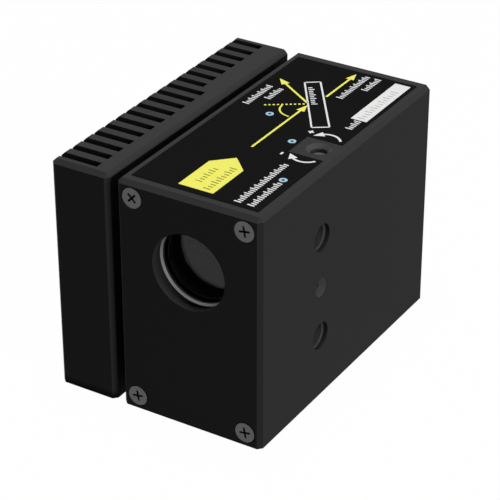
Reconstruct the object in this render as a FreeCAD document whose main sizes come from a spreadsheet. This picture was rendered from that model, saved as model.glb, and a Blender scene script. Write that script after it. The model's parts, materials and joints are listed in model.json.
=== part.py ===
import FreeCAD, Part
import math
import os
import re
import Sketcher

# Laser power attenuator, in millimetres.
# The beam runs along +Y. The origin is at the middle of the bottom of the whole block.

DRIVING_SIZES = [
    ("housing_width", 36, "housing, along X"),
    ("housing_height", 57, "housing, along Z"),
    ("body_depth", 76, "over both end plates, along Y"),
    ("edge_chamfer", 1, "on the upright and top edges"),
    ("beam_below_top", 17.9, "beam axis below the top"),
    ("front_plate_thick", 4, "front end plate"),
    ("rear_plate_thick", 4.2, "rear end plate without its spigot"),
    ("spigot_length", 2, "spigot of the rear plate in the cavity"),
    ("spigot_play", 0.1, "spigot clearance all round"),
    ("wall_left", 4, "cavity wall beside the heat sink"),
    ("wall_right", 2.2, "cavity wall on the mounting side"),
    ("cavity_corner", 1, "corners that the cutter leaves along the cavity"),
    ("cavity_length", 46, "front end of the cavity to the rear face"),
    ("lip_radius", 9.1, "aperture lip"),
    ("lip_length", 1.8, "front aperture lip along the beam"),
    ("recess_radius", 9.8, "wider bore behind the front lip"),
    ("tunnel_radius", 8.97, "beam tunnel and window seat"),
    ("window_radius", 10.1, "glass windows"),
    ("window_thick", 0.8, "glass windows"),
    ("window_play", 0.1, "window pocket clearance in radius"),
    ("glass_bevel", 0.1, "ground edges of the glass"),
    ("ring_bore", 9.35, "bore radius of the retaining rings"),
    ("ring_length", 1, "retaining rings along the beam"),
    ("ring_chamfer", 0.45, "inner chamfer of the retaining rings"),
    ("seal_bore", 9.6, "bore radius of the window seals"),
    ("seal_thick", 0.55, "window seals"),
    ("exit_pocket_depth", 3, "window pocket from the spigot's face"),
    ("seat_notch_angle", 193, "seat notch, round the beam from +X"),
    ("seat_notch_radius", 0.5, "seat notch"),
    ("plate_screw_side", 4.05, "end plate screws from the side faces"),
    ("plate_screw_top", 3.8, "upper end plate screws from the top"),
    ("plate_screw_bottom", 3.24, "lower end plate screws from the bottom"),
    ("plate_thread_radius", 1.25, "M2.5 thread"),
    ("plate_thread_depth", 4.3, "M2.5 threaded holes"),
    ("plate_screw_length", 8, "M2.5 screws, over the head"),
    ("plate_screw_play", 0.15, "clearance holes in radius"),
    ("countersink_radius", 2.7, "mouth of the countersinks"),
    ("plate_head_radius", 2.4, "M2.5 countersunk head"),
    ("cross_length", 2.65, "cross recess, tip to tip"),
    ("cross_width", 0.5, "cross recess arms"),
    ("cross_depth", 1.1, "cross recess"),
    ("sink_thick", 15, "heat sink, along X"),
    ("gap_width", 2, "air gap between heat sink and housing"),
    ("slot_count", 18, "slots between the fins"),
    ("slot_width", 2, "slots between the fins"),
    ("long_slots", 11, "slots that reach the thin base, from the front"),
    ("thin_base", 4.2, "sink base behind the long slots"),
    ("thick_base", 6.2, "sink base behind the absorber"),
    ("sink_thread_radius", 1.5, "M3 thread"),
    ("sink_screw_play", 0.1, "clearance holes in radius"),
    ("sink_screw_length", 10, "M3 screws under the head"),
    ("sink_head_radius", 2.75, "M3 cap head"),
    ("sink_head_height", 3, "M3 cap head"),
    ("sink_socket_radius", 1.4, "hexagon socket, to its corners"),
    ("sink_socket_depth", 1.5, "hexagon socket"),
    ("well_radius", 3.1, "screw wells in the fins"),
    ("sink_screw_bottom", 12, "lower sink screws from the bottom"),
    ("sink_screw_top", 8, "upper sink screws from the top"),
    ("spacer_radius", 3.5, "ceramic spacers"),
    ("collar_radius", 11, "dump collar outside"),
    ("collar_wall", 1, "dump collar wall"),
    ("collar_seat", 1, "depth of the collar in each side"),
    ("absorber_radius", 10.5, "absorber disc"),
    ("absorber_thick", 3.5, "absorber disc"),
    ("pit_depth", 2.6, "conical pit of the absorber"),
    ("pit_radius", 9.2, "mouth of the conical pit"),
    ("tilt_angle", 56, "plate's normal to the beam, Brewster angle"),
    ("polariser_length", 24, "polarising plate across the beam"),
    ("polariser_height", 16, "polarising plate, along Z"),
    ("polariser_thick", 3, "polarising plate"),
    ("polariser_play", 0.05, "plate in its pocket, each side"),
    ("polariser_lip", 1, "width of the ledge that the plate rests on"),
    ("ledge_thick", 2.5, "ledge in front of the plate"),
    ("ledge_flare", 1.2, "ledge window wider in front, each side"),
    ("frame_side", 2.4, "cradle frame beside the plate"),
    ("frame_bar", 1.65, "cradle frame above and below the plate"),
    ("foot_radius", 6, "cradle foot"),
    ("floor_thick", 14, "housing floor under the cavity"),
    ("thrust_thick", 0.4, "thrust washer"),
    ("thrust_radius", 3.4, "thrust washer"),
    ("clamp_thick", 1, "plate clamp"),
    ("small_thread_radius", 0.6, "M1.2 thread"),
    ("small_screw_play", 0.05, "clearance holes in radius"),
    ("small_head_radius", 1.1, "M1.2 head"),
    ("small_head_height", 0.7, "M1.2 head"),
    ("clamp_screw_length", 3, "M1.2 clamp screws under the head"),
    ("clamp_screw_rise", 5.5, "clamp screws above and below the beam"),
    ("sector_screw_length", 3.4, "M1.2 sector screws over the head"),
    ("sector_screw_spread", 1.4, "sector screws from the middle of the frame"),
    ("pin_radius", 1.25, "pivot pins"),
    ("pin_chamfer", 0.15, "broken edges of the pins and the spindle"),
    ("pin_play", 0.03, "running clearance of the bushes in radius"),
    ("bush_wall", 1, "pivot bushes"),
    ("lower_bush_length", 5, "lower pivot bush"),
    ("lower_pin_grip", 7, "lower pin in the floor"),
    ("upper_pin_cover", 0.4, "upper pin below the roof's face"),
    ("pin_end_gap", 0.3, "free space at the pins' ends"),
    ("gear_module", 0.5, "both gears"),
    ("pinion_teeth", 10, "pinion"),
    ("sector_circle_teeth", 78, "teeth of the sector's full circle"),
    ("sector_teeth", 5, "teeth on the sector"),
    ("pressure_angle", 20, "both gears"),
    ("profile_shift", 0.4, "pinion outwards, sector inwards, in modules"),
    ("tooth_addendum", 0.9, "both gears, in modules"),
    ("tooth_dedendum", 1.25, "both gears, in modules"),
    ("backlash", 0.06, "at the pitch circles"),
    ("sector_thick", 1.8, "toothed sector"),
    ("sector_hub_radius", 4.2, "hub of the sector"),
    ("pinion_overlap", 0.1, "pinion past the sector at each face"),
    ("headroom", 0.4, "sector to the cavity roof"),
    ("adjuster_side", 6, "adjuster from the right face"),
    ("adjuster_rear", 41.9, "adjuster from the rear face"),
    ("adjuster_bore", 1.92, "tuning hole in the roof"),
    ("adjuster_mouth", 2.9, "mouth of the tuning hole"),
    ("adjuster_sunk", 1.8, "spindle's face below the top"),
    ("head_radius", 1.85, "spindle head"),
    ("journal_radius", 1.5, "spindle journal"),
    ("journal_play", 0.02, "running clearance of the journal"),
    ("stub_radius", 1, "spindle end in the pinion"),
    ("adjuster_bush_radius", 3, "adjuster bush outside"),
    ("adjuster_bush_length", 3.2, "adjuster bush"),
    ("washer_thick", 0.25, "friction washer"),
    ("washer_play", 0.02, "free space at the friction washer"),
    ("slot_long", 2.8, "driver slot"),
    ("slot_wide", 0.45, "driver slot"),
    ("slot_deep", 0.5, "driver slot"),
    ("slot_turn", 31, "driver slot's direction from +X"),
    ("mount_back", 25.5, "side holes from the front face"),
    ("mount_high", 40.7, "upper side hole above the bottom"),
    ("mount_spacing", 25, "between the threaded side holes"),
    ("mount_radius", 3, "M6 thread"),
    ("mount_depth", 8, "threaded side holes"),
    ("mount_mouth", 3.3, "mouth of the threaded side holes"),
    ("mount_mouth_depth", 1, "mouth of the threaded side holes"),
    ("mount_cone_depth", 0.45, "cone from the mouth to the thread"),
    ("locating_radius", 0.65, "locating hole"),
    ("locating_depth", 6, "locating hole"),
    ("locating_mouth", 2.3, "cone of the locating hole"),
    ("locating_cone_depth", 1.1, "cone of the locating hole"),
    ("label_thick", 0.15, "label sheet"),
    ("label_side", 2.3, "label from the side faces"),
    ("label_front", 2.7, "label from the front face"),
    ("label_rear", 3.2, "label from the rear face"),
    ("label_notch_side", 11, "label notch from the right face"),
    ("label_notch_near", 4.85, "label notch before the tuning hole"),
    ("label_notch_far", 3.8, "label notch past the tuning hole"),
]

DERIVED_SIZES = [
    ("beam_height", "housing_height - beam_below_top"),
    ("total_width", "housing_width + gap_width + sink_thick"),
    ("sink_outer", "-total_width / 2"),
    ("sink_inner", "sink_outer + sink_thick"),
    ("housing_left", "sink_inner + gap_width"),
    ("housing_right", "housing_left + housing_width"),
    ("front_face", "-body_depth / 2"),
    ("rear_face", "body_depth / 2"),
    ("front_joint", "front_face + front_plate_thick"),
    ("rear_joint", "rear_face - rear_plate_thick"),
    ("beam_x", "(housing_left + housing_right) / 2"),
    ("pocket_radius", "window_radius + window_play"),
    ("entrance_seat", "front_joint + ring_length + seal_thick + window_thick"),
    ("spigot_end", "rear_joint - spigot_length"),
    ("exit_seat", "spigot_end + exit_pocket_depth"),
    ("cavity_left", "housing_left + wall_left"),
    ("cavity_right", "housing_right - wall_right"),
    ("cavity_front", "rear_face - cavity_length"),
    ("polariser_bottom", "beam_height - polariser_height / 2"),
    ("polariser_top", "beam_height + polariser_height / 2"),
    ("foot_bottom", "floor_thick + thrust_thick"),
    ("frame_bottom", "polariser_bottom - polariser_play - frame_bar"),
    ("frame_top", "polariser_top + polariser_play + frame_bar"),
    ("sector_top", "frame_top + sector_thick"),
    ("cavity_roof", "sector_top + headroom"),
    ("pocket_half", "polariser_length / 2 + polariser_play"),
    ("frame_half", "pocket_half + frame_side"),
    ("frame_middle", "pocket_half + frame_side / 2"),
    ("frame_depth_middle", "(polariser_thick - ledge_thick) / 2"),
    ("clamp_face", "polariser_thick + clamp_thick"),
    ("bush_radius", "pin_radius + pin_play + bush_wall"),
    ("upper_bush_bottom", "frame_top - frame_bar"),
    ("upper_pin_bottom", "upper_bush_bottom + pin_end_gap"),
    ("lower_pin_top", "foot_bottom + lower_bush_length - pin_end_gap"),
    ("gear_centres", "gear_module * (pinion_teeth + sector_circle_teeth) / 2"),
    ("adjuster_x", "housing_right - adjuster_side"),
    ("adjuster_y", "rear_face - adjuster_rear"),
    ("pivot_x", "beam_x"),
    ("pivot_y", "adjuster_y + sqrt(gear_centres^2 - (adjuster_x - pivot_x)^2)"),
    ("adjuster_face", "housing_height - adjuster_sunk"),
    ("bush_top", "cavity_roof + adjuster_bush_length"),
    ("head_bottom", "bush_top + washer_thick + washer_play"),
    ("pinion_bottom", "frame_top - pinion_overlap"),
    ("pinion_top", "sector_top + pinion_overlap"),
    ("dump_y", "pivot_y + (pivot_x - housing_left) * tan(2 * tilt_angle - 90)"),
    ("collar_bore", "collar_radius - collar_wall"),
    ("fin_thick", "(body_depth - slot_count * slot_width) / (slot_count + 1)"),
    ("slot_pitch", "fin_thick + slot_width"),
    ("first_slot", "front_face + fin_thick + slot_width / 2"),
    ("well_floor", "sink_inner - thin_base"),
    ("sink_screw_upper", "housing_height - sink_screw_top"),
    ("sink_hole_radius", "sink_thread_radius + sink_screw_play"),
    ("plate_screw_left", "housing_left + plate_screw_side"),
    ("plate_screw_right", "housing_right - plate_screw_side"),
    ("plate_screw_upper", "housing_height - plate_screw_top"),
    ("plate_hole_radius", "plate_thread_radius + plate_screw_play"),
    ("head_land", "countersink_radius - plate_head_radius"),
    ("mount_y", "front_face + mount_back"),
    ("mount_low", "mount_high - mount_spacing"),
    ("locating_z", "mount_high - mount_spacing / 2"),
    ("label_left", "housing_left + label_side"),
    ("label_right", "housing_right - label_side"),
    ("label_near", "front_face + label_front"),
    ("label_far", "rear_face - label_rear"),
    ("notch_left", "housing_right - label_notch_side"),
    ("notch_near", "adjuster_y - label_notch_near"),
    ("notch_far", "adjuster_y + label_notch_far"),
]

document = FreeCAD.newDocument("attenuator")
sheet = document.addObject("Spreadsheet::Sheet", "Sizes")
for row, (alias, number, note) in enumerate(DRIVING_SIZES, start=1):
    sheet.set(f"A{row}", note)
    sheet.set(f"B{row}", str(number))
    sheet.setAlias(f"B{row}", alias)
for row, (alias, formula) in enumerate(DERIVED_SIZES, start=1):
    sheet.set(f"D{row}", "=" + formula)
    sheet.setAlias(f"D{row}", alias)
document.recompute()

ALIASES = {entry[0] for entry in DRIVING_SIZES + DERIVED_SIZES}
PLANES = {"X": "YZ_Plane", "Y": "XZ_Plane", "Z": "XY_Plane"}
sub_parts = []


def tied(expression):
    """Point each name in an expression at its cell in the sheet."""
    return re.sub(r"[a-z]\w+", lambda word: ("Sizes." if word[0] in ALIASES else "") + word[0], expression)


def measure(expression):
    """Work out an expression over the sheet's names."""
    return float(sheet.evalExpression(tied(expression)))


def body(name):
    """Start a sub-part that is modelled feature by feature."""
    part = document.addObject("PartDesign::Body", name)
    part.Label = name
    sub_parts.append(part)
    return part


def origin_feature(part, role):
    return next(entry for entry in part.Origin.OriginFeatures if entry.Role == role)


def sketch(part, axis, level, outlines, middle=("0", "0"), turn="0"):
    """Draw outlines on the plane across an axis, at a level along that axis."""
    item = part.newObject("Sketcher::SketchObject", part.Name + "_sketch")
    item.AttachmentSupport = [(origin_feature(part, PLANES[axis]), "")]
    item.MapMode = "FlatFace"
    turned_up = FreeCAD.Rotation(FreeCAD.Vector(0, 0, 1), measure(turn))
    item.AttachmentOffset = FreeCAD.Placement(FreeCAD.Vector(), turned_up)
    item.setExpression("AttachmentOffset.Base.x", tied(middle[0]))
    item.setExpression("AttachmentOffset.Base.y", tied(middle[1]))
    side = "-" if axis == "Y" else ""
    item.setExpression("AttachmentOffset.Base.z", tied(f"{side}({level})"))
    for outline in outlines:
        outline(item)
    return item


def hold(item, element, point, x, y):
    """Fix a point of a sketch by its distances from the sketch's origin."""
    for direction, distance in (("DistanceX", x), ("DistanceY", y)):
        constraint = Sketcher.Constraint(direction, -1, 1, element, point, measure(distance))
        number = item.addConstraint(constraint)
        item.setExpression(f"Constraints[{number}]", tied(distance))


def circle(x, y, radius):
    """Outline of a circle."""
    def draw(item):
        middle = FreeCAD.Vector(measure(x), measure(y), 0)
        ring = Part.Circle(middle, FreeCAD.Vector(0, 0, 1), measure(radius))
        element = item.addGeometry(ring, False)
        hold(item, element, 3, x, y)
        number = item.addConstraint(Sketcher.Constraint("Radius", element, measure(radius)))
        item.setExpression(f"Constraints[{number}]", tied(radius))
    return draw


def polygon(*corners):
    """Outline through corners that are each given by two expressions."""
    def draw(item):
        points = [FreeCAD.Vector(measure(x), measure(y), 0) for x, y in corners]
        first = item.GeometryCount
        for start, end in zip(points, points[1:] + points[:1]):
            item.addGeometry(Part.LineSegment(start, end), False)
        for number, (x, y) in enumerate(corners):
            following = first + (number + 1) % len(corners)
            item.addConstraint(Sketcher.Constraint("Coincident", first + number, 2, following, 1))
            hold(item, first + number, 1, x, y)
    return draw


def rectangle(x1, y1, x2, y2):
    """Outline of a rectangle between two opposite corners."""
    return polygon((x1, y1), (x2, y1), (x2, y2), (x1, y2))


def extrude(kind, part, axis, start, end, outlines, taper="0", middle=("0", "0"), turn="0"):
    """Pad or pocket outlines from one level along an axis to another, growing or shrinking by the taper."""
    profile = sketch(part, axis, start, outlines, middle, turn)
    item = part.newObject("PartDesign::" + kind, f"{part.Name}_{kind.lower()}")
    item.Profile = profile
    item.setExpression("Length", tied(f"abs(({end}) - ({start}))"))
    item.setExpression("TaperAngle", tied(taper))
    with_normal = (measure(end) > measure(start)) != (axis == "Y")
    item.Reversed = with_normal != (kind == "Pad")
    return item


def pad(part, *where, **options):
    return extrude("Pad", part, *where, **options)


def pocket(part, *where, **options):
    return extrude("Pocket", part, *where, **options)


def turned(name, outline, x="0", y="0", z="0", axis="Z"):
    """A turned piece: its outline is radius and height, and its height runs along an axis."""
    part = body(name)
    profile = sketch(part, "Y", "0", [polygon(*outline)])
    item = part.newObject("PartDesign::Revolution", name + "_turning")
    item.Profile = profile
    item.ReferenceAxis = (profile, ["V_Axis"])
    item.Angle = 360
    tip_over = {"X": ((0, 1, 0), 90), "Y": ((-1, 0, 0), 90), "Z": ((0, 0, 1), 0)}[axis]
    place(part, x, y, z, FreeCAD.Rotation(FreeCAD.Vector(*tip_over[0]), tip_over[1]))
    return part


def place(part, x, y, z, rotation):
    """Put a sub-part at a place that follows the sheet."""
    part.Placement = FreeCAD.Placement(FreeCAD.Vector(), rotation)
    for direction, distance in (("x", x), ("y", y), ("z", z)):
        part.setExpression("Placement.Base." + direction, tied(distance))


def place_on_pivot(part):
    """Put a piece of the polariser, drawn with its optical face on Y = 0, at its working angle."""
    place(part, "pivot_x", "pivot_y", "0", FreeCAD.Rotation(FreeCAD.Vector(0, 0, 1), 90))
    part.setExpression("Placement.Rotation.Angle", tied("-tilt_angle"))


def dress(kind, part, size, *faces):
    """Chamfer or fillet each edge where two of the given flat faces meet."""
    document.recompute()
    base = part.Tip
    levels = [("XYZ".index(axis), measure(level)) for axis, level in faces]
    names = []
    for number, edge in enumerate(base.Shape.Edges, start=1):
        ends = [vertex.Point for vertex in edge.Vertexes]
        met = [level for axis, level in levels if all(abs(end[axis] - level) < 0.001 for end in ends)]
        if len(met) == 2:
            names.append(f"Edge{number}")
    item = part.newObject("PartDesign::" + kind, f"{part.Name}_{kind.lower()}")
    item.Base = (base, names)
    item.setExpression({"Chamfer": "Size", "Fillet": "Radius"}[kind], tied(size))


def repeat(part, feature, axis, spacing, count):
    """Repeat a feature along an axis at even spacing."""
    item = part.newObject("PartDesign::LinearPattern", part.Name + "_row")
    item.Originals = [feature]
    item.Direction = (origin_feature(part, axis + "_Axis"), [""])
    item.setExpression("Length", tied(f"({spacing}) * (({count}) - 1)"))
    item.setExpression("Occurrences", tied(count))
    part.Tip = item


# Places that several pieces share: the screws of both end plates and of the heat sink, and the outer faces.

PLATE_SCREWS = [(x, z) for z in ("plate_screw_upper", "plate_screw_bottom")
                for x in ("plate_screw_left", "plate_screw_right")]
SINK_SCREWS = [("first_slot + 2 * slot_pitch", "sink_screw_bottom"),
               ("first_slot + (slot_count - 3) * slot_pitch", "sink_screw_bottom"),
               ("first_slot + 2 * slot_pitch", "sink_screw_upper"),
               ("first_slot + (long_slots - 1) * slot_pitch", "sink_screw_upper")]
FRONT, REAR = ("Y", "front_face"), ("Y", "rear_face")
LEFT, RIGHT, TOP = ("X", "housing_left"), ("X", "housing_right"), ("Z", "housing_height")
END_OUTLINE = rectangle("housing_left", "0", "housing_right", "housing_height")


def on_beam(radius):
    """Circle round the beam axis."""
    return circle("beam_x", "beam_height", radius)


# Housing: one milled block with the beam tunnel, the cavity that is open to the rear,
# the port to the heat sink, and the holes for the adjuster, the pivot and the mounts.

housing = body("housing")
pad(housing, "Y", "front_joint", "rear_joint", [END_OUTLINE])
dress("Chamfer", housing, "edge_chamfer", LEFT, RIGHT, TOP)
pocket(housing, "Y", "front_joint", "cavity_front", [on_beam("tunnel_radius")])
pocket(housing, "Y", "front_joint", "entrance_seat", [on_beam("pocket_radius")])
notch = circle("beam_x + tunnel_radius * cos(seat_notch_angle)",
               "beam_height + tunnel_radius * sin(seat_notch_angle)", "seat_notch_radius")
pocket(housing, "Y", "entrance_seat", "entrance_seat + seat_notch_radius", [notch])
pocket(housing, "Y", "cavity_front", "rear_joint",
       [rectangle("cavity_left", "floor_thick", "cavity_right", "cavity_roof")])
dress("Fillet", housing, "cavity_corner", ("X", "cavity_left"), ("X", "cavity_right"),
      ("Z", "floor_thick"), ("Z", "cavity_roof"))
pocket(housing, "X", "housing_left", "cavity_left", [circle("dump_y", "beam_height", "collar_bore")])
pocket(housing, "X", "housing_left", "housing_left + collar_seat",
       [circle("dump_y", "beam_height", "collar_radius")])
pocket(housing, "X", "housing_left", "cavity_left",
       [circle(y, z, "sink_thread_radius") for y, z in SINK_SCREWS])
for joint, end in (("front_joint", "front_joint + plate_thread_depth"),
                   ("rear_joint", "rear_joint - plate_thread_depth")):
    pocket(housing, "Y", joint, end, [circle(x, z, "plate_thread_radius") for x, z in PLATE_SCREWS])
pocket(housing, "Z", "housing_height", "bush_top", [circle("adjuster_x", "adjuster_y", "adjuster_bore")])
pocket(housing, "Z", "housing_height", "housing_height - (adjuster_mouth - adjuster_bore)",
       [circle("adjuster_x", "adjuster_y", "adjuster_mouth")], taper="-45")
pocket(housing, "Z", "cavity_roof", "bush_top",
       [circle("adjuster_x", "adjuster_y", "adjuster_bush_radius")])
pocket(housing, "Z", "cavity_roof", "housing_height", [circle("pivot_x", "pivot_y", "pin_radius")])
pocket(housing, "Z", "floor_thick", "floor_thick - lower_pin_grip",
       [circle("pivot_x", "pivot_y", "pin_radius")])
for z in ("mount_high", "mount_low"):
    pocket(housing, "X", "housing_right", "housing_right - mount_depth",
           [circle("mount_y", z, "mount_radius")])
    pocket(housing, "X", "housing_right", "housing_right - mount_mouth_depth",
           [circle("mount_y", z, "mount_mouth")])
    pocket(housing, "X", "housing_right - mount_mouth_depth",
           "housing_right - mount_mouth_depth - mount_cone_depth", [circle("mount_y", z, "mount_mouth")],
           taper="-atan((mount_mouth - mount_radius) / mount_cone_depth)")
pocket(housing, "X", "housing_right", "housing_right - locating_depth",
       [circle("mount_y", "locating_z", "locating_radius")])
pocket(housing, "X", "housing_right", "housing_right - locating_cone_depth",
       [circle("mount_y", "locating_z", "locating_mouth")],
       taper="-atan((locating_mouth - locating_radius) / locating_cone_depth)")


# End plates: the front one has the aperture lip, the rear one a spigot that centres it in the cavity.

def plate_screw_holes(plate, outer_face, inner_face, inward):
    """Clearance holes and countersinks for the four screws of an end plate."""
    pocket(plate, "Y", outer_face, inner_face, [circle(x, z, "plate_hole_radius") for x, z in PLATE_SCREWS])
    pocket(plate, "Y", outer_face, f"{outer_face} {inward} (countersink_radius - plate_hole_radius)",
           [circle(x, z, "countersink_radius") for x, z in PLATE_SCREWS], taper="-45")


front_plate = body("front_plate")
pad(front_plate, "Y", "front_face", "front_joint", [END_OUTLINE])
dress("Chamfer", front_plate, "edge_chamfer", FRONT, LEFT, RIGHT, TOP)
pocket(front_plate, "Y", "front_face", "front_joint", [on_beam("lip_radius")])
pocket(front_plate, "Y", "front_face + lip_length", "front_joint", [on_beam("recess_radius")])
plate_screw_holes(front_plate, "front_face", "front_joint", "+")

rear_plate = body("rear_plate")
pad(rear_plate, "Y", "rear_joint", "rear_face", [END_OUTLINE])
dress("Chamfer", rear_plate, "edge_chamfer", REAR, LEFT, RIGHT, TOP)
SPIGOT = ("cavity_left + spigot_play", "floor_thick + spigot_play",
          "cavity_right - spigot_play", "cavity_roof - spigot_play")
pad(rear_plate, "Y", "spigot_end", "rear_joint", [rectangle(*SPIGOT)])
dress("Fillet", rear_plate, "cavity_corner", ("X", SPIGOT[0]), ("X", SPIGOT[2]),
      ("Z", SPIGOT[1]), ("Z", SPIGOT[3]))
pocket(rear_plate, "Y", "exit_seat", "rear_face", [on_beam("lip_radius")])
pocket(rear_plate, "Y", "spigot_end", "exit_seat", [on_beam("pocket_radius")])
plate_screw_holes(rear_plate, "rear_face", "rear_joint", "-")


# End plate screws: M2.5 with countersunk heads and cross recesses, each left at its own angle.

def cross():
    """Outline of a cross recess round the sketch's origin."""
    half_long, half_wide = "cross_length / 2", "cross_width / 2"
    quarter = [(half_long, f"-{half_wide}"), (half_long, half_wide), (half_wide, half_wide)]
    corners = []
    for turn in range(4):
        corners += quarter
        quarter = [(f"-({y})", x) for x, y in quarter]
    return polygon(*corners)


def plate_screws(name, face, inward, turns):
    """Four countersunk screws in an end plate, driven from its outer face."""
    part = body(name)
    cone = f"{face} {inward} head_land"
    heads = [circle(x, z, "plate_head_radius") for x, z in PLATE_SCREWS]
    pad(part, "Y", face, cone, heads)
    pad(part, "Y", cone, f"{cone} {inward} (plate_head_radius - plate_thread_radius)", heads, taper="-45")
    pad(part, "Y", face, f"{face} {inward} plate_screw_length",
        [circle(x, z, "plate_thread_radius") for x, z in PLATE_SCREWS])
    for middle, turn in zip(PLATE_SCREWS, turns):
        pocket(part, "Y", face, f"{face} {inward} cross_depth", [cross()], middle=middle, turn=turn)


plate_screws("front_plate_screws", "front_face", "+", ["45", "10", "10", "10"])
plate_screws("rear_plate_screws", "rear_face", "-", ["20", "60", "35", "5"])


# Windows: each glass is held against its seat or seal by a ring in a bore of the same diameter.

def window_stack(side, ring_start, seal_start, glass_start):
    """Retaining ring, seal and glass of one aperture, each at its start along the beam."""
    beam = ("beam_x", "beam_height")
    ring = [("ring_bore + ring_chamfer", "0"), ("window_radius", "0"), ("window_radius", "ring_length"),
            ("ring_bore", "ring_length"), ("ring_bore", "ring_chamfer")]
    turned(side + "_ring", ring, beam[0], ring_start, beam[1], "Y")
    seal = [("seal_bore", "0"), ("window_radius", "0"), ("window_radius", "seal_thick"),
            ("seal_bore", "seal_thick")]
    turned(side + "_seal", seal, beam[0], seal_start, beam[1], "Y")
    glass = [("0", "0"), ("window_radius - glass_bevel", "0"), ("window_radius", "glass_bevel"),
             ("window_radius", "window_thick - glass_bevel"),
             ("window_radius - glass_bevel", "window_thick"), ("0", "window_thick")]
    turned(side + "_window", glass, beam[0], glass_start, beam[1], "Y")


window_stack("entrance", "front_joint", "front_joint + ring_length", "entrance_seat - window_thick")
window_stack("exit", "exit_seat - seal_thick - window_thick - ring_length", "exit_seat - seal_thick",
             "exit_seat - seal_thick - window_thick")


# Heat sink: a block with upright slots, bolted to the housing from the slots through ceramic spacers.

heat_sink = body("heat_sink")
pad(heat_sink, "X", "sink_outer", "sink_inner",
    [rectangle("front_face", "0", "rear_face", "housing_height")])
dress("Chamfer", heat_sink, "edge_chamfer", FRONT, REAR, TOP, ("X", "sink_outer"), ("X", "sink_inner"))
for start, base, count in (("first_slot", "thin_base", "long_slots"),
                           ("first_slot + long_slots * slot_pitch", "thick_base",
                            "slot_count - long_slots")):
    slot = rectangle("sink_outer", f"{start} - slot_width / 2",
                     f"sink_inner - {base}", f"{start} + slot_width / 2")
    cut = pocket(heat_sink, "Z", "0", "housing_height", [slot])
    repeat(heat_sink, cut, "Y", "slot_pitch", count)
pocket(heat_sink, "X", "sink_outer", "well_floor", [circle(y, z, "well_radius") for y, z in SINK_SCREWS])
pocket(heat_sink, "X", "well_floor", "sink_inner",
       [circle(y, z, "sink_hole_radius") for y, z in SINK_SCREWS])
pocket(heat_sink, "X", "sink_inner", "sink_inner - collar_seat",
       [circle("dump_y", "beam_height", "collar_radius")])
pocket(heat_sink, "X", "sink_inner", "sink_inner - collar_seat - absorber_thick",
       [circle("dump_y", "beam_height", "absorber_radius")])

sink_screws = body("sink_screws")
pad(sink_screws, "X", "well_floor - sink_head_height", "well_floor",
    [circle(y, z, "sink_head_radius") for y, z in SINK_SCREWS])
pad(sink_screws, "X", "well_floor", "well_floor + sink_screw_length",
    [circle(y, z, "sink_thread_radius") for y, z in SINK_SCREWS])
sockets = [polygon(*((f"{y} + sink_socket_radius * cos({turn})", f"{z} + sink_socket_radius * sin({turn})")
                     for turn in range(0, 360, 60))) for y, z in SINK_SCREWS]
pocket(sink_screws, "X", "well_floor - sink_head_height",
       "well_floor - sink_head_height + sink_socket_depth", sockets)

sink_spacers = body("sink_spacers")
pad(sink_spacers, "X", "sink_inner", "housing_left",
    [circle(y, z, radius) for y, z in SINK_SCREWS for radius in ("spacer_radius", "sink_hole_radius")])


# Beam dump: the reflected beam passes the collar and ends in the pit of the absorber.

dump_collar = body("dump_collar")
pad(dump_collar, "X", "sink_inner - collar_seat", "housing_left + collar_seat",
    [circle("dump_y", "beam_height", radius) for radius in ("collar_radius", "collar_bore")])
turned("dump_absorber", [("0", "0"), ("absorber_radius", "0"), ("absorber_radius", "absorber_thick"),
                         ("pit_radius", "absorber_thick"), ("0", "absorber_thick - pit_depth")],
       "sink_inner - collar_seat - absorber_thick", "dump_y", "beam_height", "X")


# Pivot of the polariser: two fixed pins, a bush on each, and a washer that the cradle turns on.

def tube(name, bore, outside, bottom, top, x, y):
    """An upright ring or bush between two heights."""
    return turned(name, [(bore, bottom), (outside, bottom), (outside, top), (bore, top)], x, y)


def pin(name, radius, bottom, top, x, y):
    """An upright pin with broken ends."""
    narrow = f"{radius} - pin_chamfer"
    return turned(name, [("0", bottom), (narrow, bottom), (radius, f"{bottom} + pin_chamfer"),
                         (radius, f"{top} - pin_chamfer"), (narrow, top), ("0", top)], x, y)


PIVOT = ("pivot_x", "pivot_y")
pin("lower_pivot_pin", "pin_radius", "floor_thick - lower_pin_grip", "lower_pin_top", *PIVOT)
pin("upper_pivot_pin", "pin_radius", "upper_pin_bottom", "housing_height - upper_pin_cover", *PIVOT)
tube("thrust_washer", "pin_radius + pin_play", "thrust_radius", "floor_thick", "foot_bottom", *PIVOT)
tube("lower_pivot_bush", "pin_radius + pin_play", "bush_radius", "foot_bottom",
     "foot_bottom + lower_bush_length", *PIVOT)
tube("upper_pivot_bush", "pin_radius + pin_play", "bush_radius", "upper_bush_bottom", "sector_top", *PIVOT)


# Polariser: the optical face of the plate lies on the pivot axis, against the ledge of the cradle.

CLAMP_SCREWS = [(x, f"beam_height {side} clamp_screw_rise")
                for side in "+-" for x in ("frame_middle", "-frame_middle")]
SECTOR_SCREWS = [("frame_middle", f"frame_depth_middle {side} sector_screw_spread") for side in "+-"]

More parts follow.
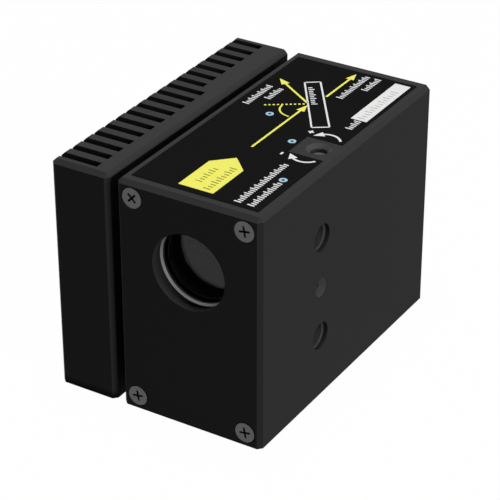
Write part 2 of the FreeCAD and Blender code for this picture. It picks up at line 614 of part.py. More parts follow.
cradle = body("polariser_cradle")
pad(cradle, "Z", "foot_bottom", "frame_bottom", [circle("0", "0", "foot_radius")])
pad(cradle, "Z", "frame_bottom", "frame_top",
    [rectangle("-frame_half", "-ledge_thick", "frame_half", "polariser_thick")])
pocket(cradle, "Y", "0", "polariser_thick",
       [rectangle("-pocket_half", "polariser_bottom - polariser_play",
                  "pocket_half", "polariser_top + polariser_play")])
ledge_half = "(pocket_half - polariser_lip)"
pocket(cradle, "Z", "polariser_bottom + polariser_lip", "polariser_top - polariser_lip",
       [polygon((ledge_half, "0"), (f"-{ledge_half}", "0"),
                (f"-{ledge_half} - ledge_flare", "-ledge_thick"),
                (f"{ledge_half} + ledge_flare", "-ledge_thick"))])
pocket(cradle, "Z", "foot_bottom", "foot_bottom + lower_bush_length", [circle("0", "0", "bush_radius")])
pocket(cradle, "Z", "upper_bush_bottom", "frame_top", [circle("0", "0", "bush_radius")])
pocket(cradle, "Y", "polariser_thick", "clamp_face - clamp_screw_length",
       [circle(x, z, "small_thread_radius") for x, z in CLAMP_SCREWS])
pocket(cradle, "Z", "frame_top", "sector_top - sector_screw_length",
       [circle(x, y, "small_thread_radius") for x, y in SECTOR_SCREWS])
place_on_pivot(cradle)

plate = body("polariser_plate")
pad(plate, "Y", "0", "polariser_thick",
    [rectangle("-polariser_length / 2", "polariser_bottom", "polariser_length / 2", "polariser_top")])
dress("Chamfer", plate, "glass_bevel", ("X", "-polariser_length / 2"), ("X", "polariser_length / 2"),
      ("Y", "0"), ("Y", "polariser_thick"), ("Z", "polariser_bottom"), ("Z", "polariser_top"))
place_on_pivot(plate)

clamp = body("plate_clamp")
pad(clamp, "Y", "polariser_thick", "clamp_face",
    [rectangle("-frame_half", "frame_bottom", "frame_half", "frame_top"),
     rectangle(f"-{ledge_half}", "polariser_bottom + polariser_lip",
               ledge_half, "polariser_top - polariser_lip"),
     *(circle(x, z, "small_thread_radius + small_screw_play") for x, z in CLAMP_SCREWS)])
place_on_pivot(clamp)

clamp_screws = body("clamp_screws")
pad(clamp_screws, "Y", "clamp_face", "clamp_face + small_head_height",
    [circle(x, z, "small_head_radius") for x, z in CLAMP_SCREWS])
pad(clamp_screws, "Y", "clamp_face", "clamp_face - clamp_screw_length",
    [circle(x, z, "small_thread_radius") for x, z in CLAMP_SCREWS])
place_on_pivot(clamp_screws)

sector_screws = body("sector_screws")
pad(sector_screws, "Z", "sector_top", "sector_top - (small_head_radius - small_thread_radius)",
    [circle(x, y, "small_head_radius") for x, y in SECTOR_SCREWS], taper="-45")
pad(sector_screws, "Z", "sector_top", "sector_top - sector_screw_length",
    [circle(x, y, "small_thread_radius") for x, y in SECTOR_SCREWS])
place_on_pivot(sector_screws)


# Gears: involute teeth with the pinion shifted outwards and the sector inwards by the same amount.

def at(radius, angle):
    """The point at a radius and an angle in radians."""
    return FreeCAD.Vector(radius * math.cos(angle), radius * math.sin(angle), 0)


def line(start, end):
    return Part.LineSegment(start, end).toShape()


def arc(start, middle, end):
    return Part.Arc(start, middle, end).toShape()


def involute(angle):
    return math.tan(angle) - angle


def toothed_edge(teeth, shift, middles, closed):
    """Edges of teeth whose middles lie at the given angles, with the roots between and beside them."""
    module = measure("gear_module")
    pressure = math.radians(measure("pressure_angle"))
    pitch_radius = module * teeth / 2
    base_radius = pitch_radius * math.cos(pressure)
    tip_radius = pitch_radius + module * (measure("tooth_addendum") + shift)
    root_radius = pitch_radius - module * (measure("tooth_dedendum") - shift)
    pitch_half = (math.pi / 2 + 2 * shift * math.tan(pressure) - measure("backlash") / (2 * module)) / teeth
    flank_start = max(base_radius, root_radius)

    def half_angle(radius):
        return pitch_half + involute(pressure) - involute(math.acos(min(1, base_radius / radius)))

    def root(start, end):
        return arc(*(at(root_radius, angle) for angle in (start, (start + end) / 2, end)))

    def flank(middle, side, radii):
        return arc(*(at(radius, middle + side * half_angle(radius)) for radius in radii))

    half_pitch = math.pi / teeth
    foot = half_angle(flank_start)
    flank_radii = [flank_start, (flank_start + tip_radius) / 2, tip_radius]
    edges = []
    for number, middle in enumerate(middles):
        if closed or number > 0:
            edges.append(root(middle - 2 * half_pitch + foot, middle - foot))
        else:
            edges.append(root(middle - half_pitch, middle - foot))
        if flank_start > root_radius:
            edges.append(line(at(root_radius, middle - foot), at(flank_start, middle - foot)))
        edges.append(flank(middle, -1, flank_radii))
        tip = half_angle(tip_radius)
        edges.append(arc(*(at(tip_radius, middle + turn * tip) for turn in (-1, 0, 1))))
        edges.append(flank(middle, 1, flank_radii[::-1]))
        if flank_start > root_radius:
            edges.append(line(at(flank_start, middle + foot), at(root_radius, middle + foot)))
    if not closed:
        edges.append(root(middles[-1] + foot, middles[-1] + half_pitch))
    return edges, root_radius


def solid_feature(name, shape, x, y, turn="0"):
    """Keep a finished shape as a sub-part of its own, at a place that follows the sheet."""
    part = document.addObject("Part::Feature", name)
    part.Label = name
    part.Shape = shape
    sub_parts.append(part)
    place(part, x, y, "0", FreeCAD.Rotation(FreeCAD.Vector(0, 0, 1), measure(turn)))


def upright_hole(x, y, radius, bottom, top):
    return Part.makeCylinder(radius, top - bottom, FreeCAD.Vector(x, y, bottom))


mesh_direction = math.atan2(measure("adjuster_y - pivot_y"), measure("adjuster_x - pivot_x"))
bottom, top = measure("frame_top"), measure("sector_top")
pitch_angle = 2 * math.pi / measure("sector_circle_teeth")
half_sector = (measure("sector_teeth") - 1) / 2 * pitch_angle
first_tooth = mesh_direction + math.radians(measure("tilt_angle")) - half_sector
middles = [first_tooth + number * pitch_angle for number in range(int(measure("sector_teeth")))]
edges, root_radius = toothed_edge(measure("sector_circle_teeth"), -measure("profile_shift"), middles, False)
hub = measure("sector_hub_radius")
rim_start = at(root_radius, middles[0] - pitch_angle / 2)
rim_end = at(root_radius, middles[-1] + pitch_angle / 2)
hub_start, hub_end = FreeCAD.Vector(0, -hub, 0), FreeCAD.Vector(0, hub, 0)
edges.append(line(rim_end, hub_end))
edges.append(arc(hub_end, FreeCAD.Vector(-hub, 0, 0), hub_start))
edges.append(line(hub_start, rim_start))
sector = Part.Face(Part.Wire(edges)).extrude(FreeCAD.Vector(0, 0, top - bottom))
sector.translate(FreeCAD.Vector(0, 0, bottom))
sector = sector.cut(upright_hole(0, 0, measure("bush_radius"), bottom, top))
thread, head = measure("small_thread_radius"), measure("small_head_radius")
for x, y in SECTOR_SCREWS:
    x, y = measure(x), measure(y)
    sector = sector.cut(upright_hole(x, y, thread, bottom, top))
    countersink = Part.makeCone(thread, head, head - thread, FreeCAD.Vector(x, y, top - (head - thread)))
    sector = sector.cut(countersink)
solid_feature("tooth_sector", sector, "pivot_x", "pivot_y", "-tilt_angle")

bottom, top = measure("pinion_bottom"), measure("pinion_top")
teeth = int(measure("pinion_teeth"))
middles = [mesh_direction + math.pi + (number + 0.5) * 2 * math.pi / teeth for number in range(teeth)]
edges, root_radius = toothed_edge(teeth, measure("profile_shift"), middles, True)
pinion = Part.Face(Part.Wire(edges)).extrude(FreeCAD.Vector(0, 0, top - bottom))
pinion.translate(FreeCAD.Vector(0, 0, bottom))
pinion = pinion.cut(upright_hole(0, 0, measure("stub_radius"), bottom, top))
solid_feature("adjuster_pinion", pinion, "adjuster_x", "adjuster_y")


# Adjuster: a slotted spindle that hangs in a bush in the roof, on a friction washer.

ADJUSTER = ("adjuster_x", "adjuster_y")
spindle = turned("adjuster_spindle", [
    ("0", "pinion_bottom"), ("stub_radius", "pinion_bottom"), ("stub_radius", "pinion_top"),
    ("journal_radius", "pinion_top"), ("journal_radius", "head_bottom"), ("head_radius", "head_bottom"),
    ("head_radius", "adjuster_face - pin_chamfer"), ("head_radius - pin_chamfer", "adjuster_face"),
    ("0", "adjuster_face")], *ADJUSTER)
pocket(spindle, "Z", "adjuster_face", "adjuster_face - slot_deep",
       [rectangle("-slot_long / 2", "-slot_wide / 2", "slot_long / 2", "slot_wide / 2")], turn="slot_turn")
tube("adjuster_bush", "journal_radius + journal_play", "adjuster_bush_radius",
     "cavity_roof", "bush_top", *ADJUSTER)
tube("adjuster_washer", "journal_radius + journal_play", "head_radius",
     "bush_top", "bush_top + washer_thick", *ADJUSTER)


# Label: a thin sheet on the roof, notched round the tuning hole.

label = body("top_label")
pad(label, "Z", "housing_height", "housing_height + label_thick",
    [polygon(("label_left", "label_near"), ("label_right", "label_near"), ("label_right", "notch_near"),
             ("notch_left", "notch_near"), ("notch_left", "notch_far"), ("label_right", "notch_far"),
             ("label_right", "label_far"), ("label_left", "label_far"))])

document.recompute()
for item in document.Objects:
    if "Invalid" in item.State or "Error" in item.State:
        raise RuntimeError(f"{item.Name} failed")
os.makedirs("parts", exist_ok=True)
for part in sub_parts:
    if part.Shape.isNull() or not part.Shape.isValid():
        raise RuntimeError(f"{part.Label} has no valid shape")
for part in sub_parts:
    part.Shape.exportStep(f"parts/{part.Label}.step")
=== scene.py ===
import json
import math
import bmesh
import bpy
from mathutils import Matrix, Vector


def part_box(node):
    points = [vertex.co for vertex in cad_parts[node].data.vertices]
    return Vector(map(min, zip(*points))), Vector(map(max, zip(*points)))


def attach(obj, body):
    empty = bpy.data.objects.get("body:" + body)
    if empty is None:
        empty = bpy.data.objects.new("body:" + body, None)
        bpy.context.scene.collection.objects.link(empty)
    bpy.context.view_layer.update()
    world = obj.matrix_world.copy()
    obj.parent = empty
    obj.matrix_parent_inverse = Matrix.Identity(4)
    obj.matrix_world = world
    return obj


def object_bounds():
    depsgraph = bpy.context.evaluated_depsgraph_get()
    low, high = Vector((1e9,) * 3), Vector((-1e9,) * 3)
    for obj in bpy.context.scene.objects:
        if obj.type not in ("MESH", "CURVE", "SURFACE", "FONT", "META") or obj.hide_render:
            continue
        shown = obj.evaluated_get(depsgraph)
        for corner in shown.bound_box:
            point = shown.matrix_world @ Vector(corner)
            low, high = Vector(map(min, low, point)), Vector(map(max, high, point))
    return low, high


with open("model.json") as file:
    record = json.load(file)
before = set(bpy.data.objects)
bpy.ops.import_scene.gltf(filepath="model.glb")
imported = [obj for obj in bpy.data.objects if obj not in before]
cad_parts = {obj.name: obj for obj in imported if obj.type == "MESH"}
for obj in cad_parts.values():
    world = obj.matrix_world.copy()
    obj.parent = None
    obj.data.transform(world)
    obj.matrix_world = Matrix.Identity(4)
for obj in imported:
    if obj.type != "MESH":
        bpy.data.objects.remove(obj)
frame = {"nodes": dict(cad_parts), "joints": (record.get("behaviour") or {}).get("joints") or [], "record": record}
cad_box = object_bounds()
nodes = frame["nodes"]


# Studio: a pale floor and an even surround, a soft lamp overhead, a low one at the front right
# and a weak one behind. Floor and surround look white to the camera, to gloss and through glass,
# and light the object only faintly.

scene = bpy.context.scene
scene.view_settings.view_transform = "Standard"

CAMERA_PLACE = (0.217497, -0.354574, 0.261855)
CAMERA_TURN = (60.204, 0.043, 31.431)
CAMERA_LENS, SENSOR_WIDTH = 149.8, 36
NEAREST_SEEN = 0.01
lens = bpy.data.cameras.new("camera")
lens.lens = CAMERA_LENS
lens.sensor_width = SENSOR_WIDTH
lens.clip_start = NEAREST_SEEN
camera = bpy.data.objects.new("camera", lens)
camera.location = CAMERA_PLACE
camera.rotation_euler = [math.radians(turn) for turn in CAMERA_TURN]
scene.collection.objects.link(camera)
scene.camera = camera


def add(tree, kind, inputs=None, **settings):
    """Add a node, set its properties and feed its inputs with outputs of other nodes or plain values."""
    made = tree.nodes.new(kind)
    for name, value in settings.items():
        setattr(made, name, value)
    for socket, value in (inputs or {}).items():
        if isinstance(value, bpy.types.NodeSocket):
            tree.links.new(value, made.inputs[socket])
        else:
            made.inputs[socket].default_value = value
    return made


def maths(tree, operation, *values, **settings):
    """The result of one step of arithmetic on outputs or plain values."""
    return add(tree, "ShaderNodeMath", dict(enumerate(values)), operation=operation, **settings).outputs[0]


def seen_directly(tree):
    """1 for camera rays, for gloss and through glass, and 0 for the light that falls on a matt face."""
    path = add(tree, "ShaderNodeLightPath").outputs
    seen = maths(tree, "MAXIMUM", path["Is Camera Ray"], path["Is Glossy Ray"])
    seen = maths(tree, "MAXIMUM", seen, path["Is Transmission Ray"])
    unlit = maths(tree, "LESS_THAN", path["Diffuse Depth"], 1)
    return maths(tree, "MULTIPLY", seen, unlit)


AMBIENT_LEVEL, WHITE_LEVEL = 0.024, 1
world = bpy.data.worlds.new("surround")
world.use_nodes = True
sky = world.node_tree
sky.nodes.clear()
level = add(sky, "ShaderNodeMapRange",
            {"Value": seen_directly(sky), "To Min": AMBIENT_LEVEL, "To Max": WHITE_LEVEL})
glow = add(sky, "ShaderNodeBackground", {"Color": (1, 1, 1, 1), "Strength": level.outputs["Result"]})
add(sky, "ShaderNodeOutputWorld", {"Surface": glow.outputs[0]})
scene.world = world


def new_material(name):
    """A node material and its empty node tree."""
    material = bpy.data.materials.new(name)
    material.use_nodes = True
    material.node_tree.nodes.clear()
    return material, material.node_tree


FLOOR_REACH = 3
FLOOR_GREY_BELOW, FLOOR_GREY_SEEN = 0.04, 0.9
FLOOR_WHITE_SHARE = 0.98
floor_mesh = bmesh.new()
bmesh.ops.create_grid(floor_mesh, x_segments=1, y_segments=1, size=FLOOR_REACH)
floor_data = bpy.data.meshes.new("floor")
floor_mesh.to_mesh(floor_data)
floor_mesh.free()
floor = bpy.data.objects.new("floor", floor_data)
scene.collection.objects.link(floor)
pale_floor, floor_tree = new_material("pale_floor")
seen_share = seen_directly(floor_tree)
floor_grey = add(floor_tree, "ShaderNodeMapRange",
                 {"Value": seen_share, "To Min": FLOOR_GREY_BELOW, "To Max": FLOOR_GREY_SEEN})
matt = add(floor_tree, "ShaderNodeBsdfDiffuse", {"Color": floor_grey.outputs["Result"]})
white = add(floor_tree, "ShaderNodeEmission")
white_share = maths(floor_tree, "MULTIPLY", seen_share, FLOOR_WHITE_SHARE)
floor_look = add(floor_tree, "ShaderNodeMixShader",
                 {"Fac": white_share, 1: matt.outputs[0], 2: white.outputs[0]})
add(floor_tree, "ShaderNodeOutputMaterial", {"Surface": floor_look.outputs[0]})
floor_data.materials.append(pale_floor)


def area_lamp(name, place, size, power):
    """A square soft lamp that faces the middle of the object."""
    data = bpy.data.lights.new(name, "AREA")
    data.size = size
    data.energy = power
    lamp = bpy.data.objects.new(name, data)
    lamp.location = place
    middle = (cad_box[0] + cad_box[1]) / 2
    lamp.rotation_euler = (middle - Vector(place)).to_track_quat("-Z", "Y").to_euler()
    scene.collection.objects.link(lamp)


area_lamp("top_lamp", (0.01, -0.02, 0.95), size=0.3, power=5.8)
area_lamp("side_lamp", (0.83, -0.215, 0.31), size=0.3, power=3.7)
area_lamp("fill_lamp", (-0.8, 0.5, 0.05), size=0.5, power=4)


# End plates, heat sink, dump collar, plate cradle and clamp: milled aluminium, blasted fine and
# anodised an even matt black with a faint grain. The plates are screwed to the ends of the housing,
# and the heat sink stands on four spacers beside it.

MM = 0.001
PATCH_SCALE = 60
GRAIN_DETAIL, PATCH_DETAIL = 2, 3
GRAIN_SHARE, PATCH_SHARE = 0.5, 0.5
GRAIN_HEIGHT = 0.02 * MM
# Painted shade in crevices: the near-black grey the colour darkens to, and how sharply it falls off.
PAINTED_SHADE_GREY, PAINTED_SHADE_POWER = 0.002, 5


def new_group(name, inputs, outputs):
    """An empty node group with named sockets, and what comes in at its inputs."""
    group = bpy.data.node_groups.new(name, "ShaderNodeTree")
    for way, sockets in (("INPUT", inputs), ("OUTPUT", outputs)):
        for socket, kind in sockets.items():
            group.interface.new_socket(socket, in_out=way, socket_type="NodeSocket" + kind)
    return group, group.nodes.new("NodeGroupInput").outputs


def fine_grain_group():
    """Two colours and two roughnesses mixed by fine grain and wide patches, with a bump of the grain."""
    group, given = new_group("fine_grain",
                             {"Colour A": "Color", "Colour B": "Color", "Grain scale": "Float",
                              "Roughness A": "Float", "Roughness B": "Float", "Bump": "Float"},
                             {"Colour": "Color", "Roughness": "Float", "Normal": "Vector"})
    place = add(group, "ShaderNodeTexCoord").outputs["Object"]
    grain = add(group, "ShaderNodeTexNoise",
                {"Vector": place, "Scale": given["Grain scale"], "Detail": GRAIN_DETAIL}).outputs["Fac"]
    patches = add(group, "ShaderNodeTexNoise",
                  {"Vector": place, "Scale": PATCH_SCALE, "Detail": PATCH_DETAIL}).outputs["Fac"]
    share = maths(group, "MULTIPLY", patches, PATCH_SHARE)
    share = maths(group, "MULTIPLY_ADD", grain, GRAIN_SHARE, share, use_clamp=True)
    colour = add(group, "ShaderNodeMix",
                 {"Factor": share, "A": given["Colour A"], "B": given["Colour B"]}, data_type="RGBA")
    roughness = add(group, "ShaderNodeMix",
                    {"Factor": share, "A": given["Roughness A"], "B": given["Roughness B"]})
    bump = add(group, "ShaderNodeBump",
               {"Strength": given["Bump"], "Distance": GRAIN_HEIGHT, "Height": grain})
    add(group, "NodeGroupOutput", {"Colour": colour.outputs["Result"],
                                   "Roughness": roughness.outputs["Result"],
                                   "Normal": bump.outputs["Normal"]})
    return group


fine_grain = fine_grain_group()


def grey(level):
    """A neutral colour."""
    return level, level, level


def grained(name, colour_a, colour_b, roughness, bump,
            grain_scale=4000, metallic=0, specular=0.5, painted_shade_reach=0):
    """A material with fine grain in its colour, roughness and bump, and painted shade that darkens its colour in
    crevices of one width.
    """
    material, tree = new_material(name)
    grain = add(tree, "ShaderNodeGroup",
                {"Colour A": (*colour_a, 1), "Colour B": (*colour_b, 1), "Grain scale": grain_scale,
                 "Roughness A": roughness[0], "Roughness B": roughness[1], "Bump": bump},
                node_tree=fine_grain).outputs
    colour = grain["Colour"]
    # Painted shade: the colour darkens towards a near-black grey where ambient occlusion finds a crevice.
    if painted_shade_reach:
        unshaded_share = add(tree, "ShaderNodeAmbientOcclusion", {"Distance": painted_shade_reach}).outputs["AO"]
        unshaded_share = maths(tree, "POWER", unshaded_share, PAINTED_SHADE_POWER)
        colour = add(tree, "ShaderNodeMix",
                     {"Factor": unshaded_share, "A": (*grey(PAINTED_SHADE_GREY), 1), "B": colour},
                     data_type="RGBA").outputs["Result"]
    shader = add(tree, "ShaderNodeBsdfPrincipled",
                 {"Base Color": colour, "Roughness": grain["Roughness"], "Normal": grain["Normal"],
                  "Metallic": metallic, "Specular IOR Level": specular})
    add(tree, "ShaderNodeOutputMaterial", {"Surface": shader.outputs[0]})
    return material


def finish(material, *names):
    """Give CAD pieces their finish."""
    for name in names:
        slots = nodes[name].data.materials
        slots.clear()
        slots.append(material)


BLACK_A, BLACK_B = (0.037, 0.037, 0.038), (0.045, 0.045, 0.046)
SLOT_SHADE = 2.2 * MM


def anodised(name, painted_shade_reach=0):
    """The matt black of every anodised piece, with painted shade in its crevices when a reach is given."""
    return grained(name, BLACK_A, BLACK_B, roughness=(0.55, 0.68), bump=0.25, specular=0.02,
                   painted_shade_reach=painted_shade_reach)


finish(anodised("black_anodised"),
       "front_plate", "rear_plate", "dump_collar", "polariser_cradle", "plate_clamp")
# The heat sink's black carries painted shade: its colour darkens in and beside the slots between its fins.
finish(anodised("sink_black_painted_shade", painted_shade_reach=SLOT_SHADE), "heat_sink")


# Housing: one block milled from solid aluminium and anodised in the same black. Its threads, its
# locating hole, the tuning hole and the window seat carry painted light: a lighter grey in them stands in for
# light falling inside.

def inside_bore_group():
    """1 on faces nearer to a line than a radius, up to a depth each way along the line's axis."""
    group, given = new_group("inside_bore",
                             {"Centre": "Vector", "Axis": "Vector", "Radius": "Float", "Depth": "Float"},
                             {"Inside": "Float"})
    place = add(group, "ShaderNodeTexCoord").outputs["Object"]
    away = add(group, "ShaderNodeVectorMath",
               {0: place, 1: given["Centre"]}, operation="SUBTRACT").outputs["Vector"]
    along = add(group, "ShaderNodeVectorMath",
                {0: away, 1: given["Axis"]}, operation="DOT_PRODUCT").outputs["Value"]
    foot = add(group, "ShaderNodeVectorMath",
               {0: given["Axis"], "Scale": along}, operation="SCALE").outputs["Vector"]
    across = add(group, "ShaderNodeVectorMath",
                 {0: away, 1: foot}, operation="DISTANCE").outputs["Value"]
    near = maths(group, "LESS_THAN", across, given["Radius"])
    deep = maths(group, "COMPARE", along, 0, given["Depth"])
    add(group, "NodeGroupOutput", {"Inside": maths(group, "MULTIPLY", near, deep)})
    return group


inside_bore = inside_bore_group()
housing_black_painted_light = anodised("housing_black_painted_light")


def painted_light_inside(centre, axis, radius, depth, painted_light_grey):
    """Paint light on the housing as a lighter grey in a cylinder, up to a depth each way from its centre."""
    tree = housing_black_painted_light.node_tree
    base_colour = tree.nodes["Principled BSDF"].inputs["Base Color"]
    inside = add(tree, "ShaderNodeGroup",
                 {"Centre": centre, "Axis": axis, "Radius": radius, "Depth": depth},
                 node_tree=inside_bore)
    mixed = add(tree, "ShaderNodeMix",
                {"Factor": inside.outputs["Inside"], "A": base_colour.links[0].from_socket,
                 "B": (*grey(painted_light_grey), 1)}, data_type="RGBA")
    tree.links.new(mixed.outputs["Result"], base_colour)


RIGHTWARD, BACKWARD, UPWARD = (1, 0, 0), (0, 1, 0), (0, 0, 1)
SIDE_CUT_MIDDLE = 4.6 * MM
housing_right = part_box("housing")[1].x
side_threads = next(mount for mount in frame["record"]["mounts"] if mount["name"] == "side_threads")
locating_hole = Vector((housing_right - SIDE_CUT_MIDDLE, *side_threads["pos_m"][1:]))
half_spacing = Vector(UPWARD) * side_threads["dims"]["spacing_y_mm"] / 2 * MM
# Painted light: a lighter grey on the walls of the side threads and the locating hole.
for thread in (locating_hole + half_spacing, locating_hole - half_spacing):
    painted_light_inside(thread, RIGHTWARD, radius=3.25 * MM, depth=4.5 * MM, painted_light_grey=0.11)
painted_light_inside(locating_hole, RIGHTWARD, radius=2.4 * MM, depth=4.55 * MM, painted_light_grey=0.085)

TUNING_HOLE_MIDDLE = 53 * MM
adjuster_turn = next(joint for joint in frame["joints"] if joint["name"] == "adjuster_turn")
# Painted light: a lighter grey on the walls of the tuning hole.
painted_light_inside((*adjuster_turn["pos_m"][:2], TUNING_HOLE_MIDDLE), UPWARD,
            radius=2.95 * MM, depth=3.95 * MM, painted_light_grey=0.075)

SEAT_GAP = 0.05 * MM
glass_low, glass_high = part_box("entrance_window")
glass_middle = (glass_low + glass_high) / 2
# Painted light: a lighter grey on the window seat behind the glass.
painted_light_inside((glass_middle.x, glass_high.y + SEAT_GAP, glass_middle.z), BACKWARD,
            radius=10.3 * MM, depth=0.15 * MM, painted_light_grey=0.3)
finish(housing_black_painted_light, "housing")


# Screws: dull stainless steel, turned and left as they come from the lathe. Cross-head screws hold
# the end plates and cap screws the heat sink, and each recess carries painted shade that darkens its colour
# inside.

RECESS_SHADE = 1.2 * MM
screw_steel_painted_shade = grained("screw_steel_painted_shade", grey(0.25), grey(0.31), roughness=(0.38, 0.5), bump=0.15,
                      grain_scale=2500, metallic=0.15, specular=0.2, painted_shade_reach=RECESS_SHADE)
finish(screw_steel_painted_shade,
       "front_plate_screws", "rear_plate_screws", "sink_screws", "clamp_screws", "sector_screws")


# Windows: a disc of glass, coated against reflection, rests on a seat at the entrance and at the exit.
# A black rubber seal lies on it, and a turned aluminium ring pressed into the bore holds both down.
# The polarising plate inside is the same coated glass.

turned_ring = grained("turned_aluminium", grey(0.17), grey(0.21), roughness=(0.35, 0.45), bump=0.2,
                      metallic=0.85)
finish(turned_ring, "entrance_ring", "exit_ring")
seal_rubber = grained("seal_rubber", grey(0.008), grey(0.012), roughness=(0.7, 0.85), bump=0.3,
                      specular=0.1)
finish(seal_rubber, "entrance_seal", "exit_seal")

GLASS_TINT, GLASS_IOR = (0.93, 0.97, 0.95), 1.5
REFLECTED_SHARE = 0.16
coated_glass, glass_tree = new_material("coated_glass")
glass = add(glass_tree, "ShaderNodeBsdfPrincipled",
            {"Base Color": (*GLASS_TINT, 1), "Roughness": 0, "IOR": GLASS_IOR,
             "Specular Tint": (*grey(REFLECTED_SHARE), 1), "Transmission Weight": 1})
add(glass_tree, "ShaderNodeOutputMaterial", {"Surface": glass.outputs[0]})
finish(coated_glass, "entrance_window", "exit_window", "polariser_plate")


# Label: a matt black film stuck to the roof, notched round the tuning hole, and screen printed with
# a beam arrow, a sketch of the rays, turning arrows and rows of plain bars.
# Places on it are millimetres from its front left corner, to the right and to the back.

film = grained("label_film", (0.0096, 0.0096, 0.0099), (0.0114, 0.0114, 0.0117),
               roughness=(0.55, 0.65), bump=0.1, specular=0)
finish(film, "top_label")

PRINT_THICK = 0.012 * MM
LINE, FINE_LINE = 0.55, 0.42
HEAD_LONG, HEAD_WIDE = 3.2, 2.1
ARC_STEPS = 14
BAR_HEIGHTS = (1, 0.7, 0.7, 1, 0.7)
WORN_SHARE = 0.94
TOUCHING = 0.001
label_low, label_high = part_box("top_label")


def stroke(mesh, start, end, width):
    """A straight printed line between two places, stretched from a square 1 mm wide."""
    start, end = Vector(start), Vector(end)
    along = end - start
    made = bmesh.ops.create_grid(mesh, x_segments=1, y_segments=1, size=0.5)["verts"]
    bmesh.ops.scale(mesh, vec=(along.length, width, 1), verts=made)
    turn = Matrix.Rotation(math.atan2(along.y, along.x), 3, "Z")
    bmesh.ops.rotate(mesh, cent=(0, 0, 0), matrix=turn, verts=made)
    bmesh.ops.translate(mesh, vec=((start + end) / 2).to_3d(), verts=made)


def patch(mesh, *corners):
    """A printed field between corners."""
    mesh.faces.new([mesh.verts.new((x, y, 0)) for x, y in corners])


def arrow(mesh, start, tip):
    """A printed line that ends in a filled head."""
    start, tip = Vector(start), Vector(tip)
    along = (tip - start).normalized()
    across = Vector((-along.y, along.x)) * HEAD_WIDE / 2
    neck = tip - along * HEAD_LONG
    stroke(mesh, start, neck, LINE)
    patch(mesh, tip, neck + across, neck - across)


def arc(mesh, centre, start, sweep, width):
    """A printed arc that starts at a place and sweeps an angle round a centre."""
    centre, start = Vector(centre), Vector(start)
    outward = (start - centre).normalized() * width / 2
    ends = [mesh.verts.new((start + side * outward).to_3d()) for side in (-1, 1)]
    edge = mesh.edges.new(ends)
    bmesh.ops.spin(mesh, geom=ends + [edge], cent=centre.to_3d(), axis=(0, 0, 1),
                   angle=math.radians(sweep), steps=ARC_STEPS)


def ring(mesh, centre, radius, bore):
    """A printed ring."""
    arc(mesh, centre, (centre[0] + (radius + bore) / 2, centre[1]), 360, radius - bore)


def caption(mesh, start, end, tall, bar=FINE_LINE, pitch=0.8):
    """A row of plain upright bars in the place of a line of small print."""
    start, end = Vector(start), Vector(end)
    along = (end - start).normalized()
    across = Vector((-along.y, along.x)) * tall
    for number in range(int((end - start).length / pitch) + 1):
        foot = start + along * pitch * number
        stroke(mesh, foot, foot + across * BAR_HEIGHTS[number % len(BAR_HEIGHTS)], bar)


def ink(name, colour):
    """Matt printing ink, a little worn."""
    worn = [channel * WORN_SHARE for channel in colour]
    return grained(name, colour, worn, roughness=(0.5, 0.6), bump=0.1, specular=0.2)


def printed(name, mesh, material, layer=0):
    """Raise the drawn shapes from the film, or from the print below, and let them ride with the roof."""
    bmesh.ops.remove_doubles(mesh, verts=mesh.verts, dist=TOUCHING)
    bmesh.ops.recalc_face_normals(mesh, faces=mesh.faces)
    face_down = [face for face in mesh.faces if face.normal.z < 0]
    bmesh.ops.reverse_faces(mesh, faces=face_down)
    grown = bmesh.ops.extrude_face_region(mesh, geom=mesh.faces[:])["geom"]
    raised = [part for part in grown if isinstance(part, bmesh.types.BMVert)]
    bmesh.ops.translate(mesh, vec=(0, 0, PRINT_THICK / MM), verts=raised)
    bmesh.ops.recalc_face_normals(mesh, faces=mesh.faces)
    bmesh.ops.scale(mesh, vec=(MM, MM, MM), verts=mesh.verts)
    corner = (label_low.x, label_low.y, label_high.z + layer * PRINT_THICK)
    bmesh.ops.translate(mesh, vec=corner, verts=mesh.verts)
    data = bpy.data.meshes.new(name)
    mesh.to_mesh(data)
    mesh.free()
    data.materials.append(material)
    piece = bpy.data.objects.new(name, data)
    scene.collection.objects.link(piece)
    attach(piece, "root")


BEAM_X = 14.98
ARROW_LEFT, ARROW_RIGHT = 10.66, 19.3
ARROW_FOOT, ARROW_SHOULDER, ARROW_TIP = 1.76, 13.86, 18.18
PLATE_Y, STRAIGHT_ON_X = 48.4, 16.42
DASHES = 10
yellow_print = bmesh.new()
patch(yellow_print, (ARROW_LEFT, ARROW_FOOT), (ARROW_RIGHT, ARROW_FOOT), (ARROW_RIGHT, ARROW_SHOULDER),
      (BEAM_X, ARROW_TIP), (ARROW_LEFT, ARROW_SHOULDER))
arrow(yellow_print, (BEAM_X, 24.3), (BEAM_X, PLATE_Y))
arrow(yellow_print, (14.28, 49.5), (2.38, 57.4))
arrow(yellow_print, (STRAIGHT_ON_X, 54.5), (STRAIGHT_ON_X, 68.6))
normal_start, normal_end = Vector((14.1, 48.7)), Vector((6.1, 43.3))
for number in range(DASHES):
    dash_start = normal_start.lerp(normal_end, number / DASHES)
    dash_end = normal_start.lerp(normal_end, (number + 0.5) / DASHES)
    stroke(yellow_print, dash_start, dash_end, LINE)
arc(yellow_print, (14.3, 45.5), (10.1, 45.5), 90, FINE_LINE)
printed("label_print_yellow", yellow_print, ink("yellow_ink", (0.98, 0.96, 0.145)))

dark_print = bmesh.new()
caption(dark_print, (14.5, 5.1), (14.5, 12.3), tall=1.7, bar=0.28, pitch=1.05)
caption(dark_print, (17.9, 3.0), (17.9, 14.3), tall=1.8, bar=0.28, pitch=1.05)
caption(dark_print, (29.5, 48.9), (29.5, 65.4), tall=1.9, bar=0.14, pitch=1.2)
printed("label_print_dark", dark_print, ink("dark_ink", (0.12, 0.1, 0.02)), layer=1)

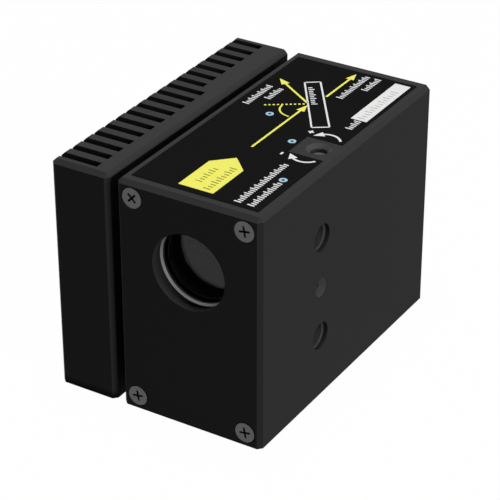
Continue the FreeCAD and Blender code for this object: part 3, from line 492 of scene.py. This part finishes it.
blue_print = bmesh.new()
for place in ((9.94, 40.28), (21.1, 31.14), (28.66, 14.58)):
    ring(blue_print, place, radius=0.95, bore=0.38)
printed("label_print_blue", blue_print, ink("pale_blue_ink", (0.4, 0.68, 0.82)))

TILTED_PLATE = [(8.4, 58.5), (11.35, 60.7), (24.65, 41.4), (21.4, 39.15)]
STRIP_LEFT, STRIP_RIGHT, STRIP_FRONT, STRIP_BACK = 26.5, 30.46, 47.7, 68.9
white_print = bmesh.new()
for start, end in zip(TILTED_PLATE, TILTED_PLATE[1:] + TILTED_PLATE[:1]):
    stroke(white_print, start, end, FINE_LINE)
patch(white_print, (STRIP_LEFT, STRIP_FRONT), (STRIP_RIGHT, STRIP_FRONT),
      (STRIP_RIGHT, STRIP_BACK), (STRIP_LEFT, STRIP_BACK))

CAPTIONS = [(20.1, 55.6, 68.6), (23.0, 62.1, 68.6), (3.3, 42.3, 53.0), (6.2, 47.0, 53.0),
            (29.5, 43.0, 47.0), (26.3, 1.6, 21.4), (29.5, 1.6, 13.1)]
for x, front, back in CAPTIONS:
    caption(white_print, (x, front), (x, back), tall=1.75)
caption(white_print, (15.4, 49.4), (10.4, 56.6), tall=-1.4, pitch=0.95)

MARKS_Y = 30.96
SIGN_LINE, PLUS_REACH = 0.45, 0.7
PLUS_X, PLUS_Y = 22.4, 37.26
MINUS_X, MINUS_FRONT, MINUS_BACK, MINUS_LINE = 22.1, 24.5, 25.6, 0.5
for side in (1, -1):
    arc(white_print, (27.16, MARKS_Y + side * 3.66), (30.2, MARKS_Y + side * 5.5), side * 88.5, LINE)
    patch(white_print, (23.65, MARKS_Y + side * 4.96), (26.15, MARKS_Y + side * 6),
          (24.65, MARKS_Y + side * 7.5))
    stroke(white_print, (PLUS_X, PLUS_Y + side * SIGN_LINE / 2), (PLUS_X, PLUS_Y + side * PLUS_REACH),
           SIGN_LINE)
stroke(white_print, (PLUS_X - PLUS_REACH, PLUS_Y), (PLUS_X + PLUS_REACH, PLUS_Y), SIGN_LINE)
stroke(white_print, (MINUS_X, MINUS_FRONT), (MINUS_X, MINUS_BACK), MINUS_LINE)
printed("label_print_white", white_print, ink("white_ink", grey(0.9)))


# Adjuster: a turned steel spindle with a driver slot stands at the bottom of the tuning hole. It turns
# in a sintered bronze bush, and washers and bushes of the same bronze carry the polariser's pivot.

spindle_steel = grained("spindle_steel", (0.14, 0.123, 0.112), (0.18, 0.158, 0.144),
                        roughness=(0.4, 0.5), bump=0.1, metallic=0.5)
finish(spindle_steel, "adjuster_spindle")
bronze = grained("sintered_bronze", (0.45, 0.27, 0.12), (0.58, 0.38, 0.19),
                 roughness=(0.4, 0.55), bump=0.4, metallic=1)
finish(bronze, "adjuster_bush", "adjuster_washer", "thrust_washer", "lower_pivot_bush", "upper_pivot_bush")


# Pivot and gears: ground steel pins are pressed into the housing, and a brass pinion on the spindle
# turns a brass sector that is screwed to the cradle.

ground_steel = grained("ground_steel", grey(0.5), grey(0.6), roughness=(0.2, 0.3), bump=0.1, metallic=1)
finish(ground_steel, "lower_pivot_pin", "upper_pivot_pin")
brass = grained("gear_brass", (0.7, 0.5, 0.2), (0.8, 0.6, 0.27), roughness=(0.25, 0.35), bump=0.15,
                metallic=1)
finish(brass, "tooth_sector", "adjuster_pinion")


# Spacers and absorber: pale ceramic rings under the heat sink's screws keep it off the housing, and
# a dark ceramic disc in the heat sink takes the reflected beam.

pale_ceramic = grained("pale_ceramic", (0.72, 0.7, 0.65), (0.8, 0.78, 0.74), roughness=(0.5, 0.65),
                       bump=0.3)
finish(pale_ceramic, "sink_spacers")
dark_ceramic = grained("dark_ceramic", (0.03, 0.03, 0.035), (0.05, 0.05, 0.055), roughness=(0.6, 0.75),
                       bump=0.4)
finish(dark_ceramic, "dump_absorber")
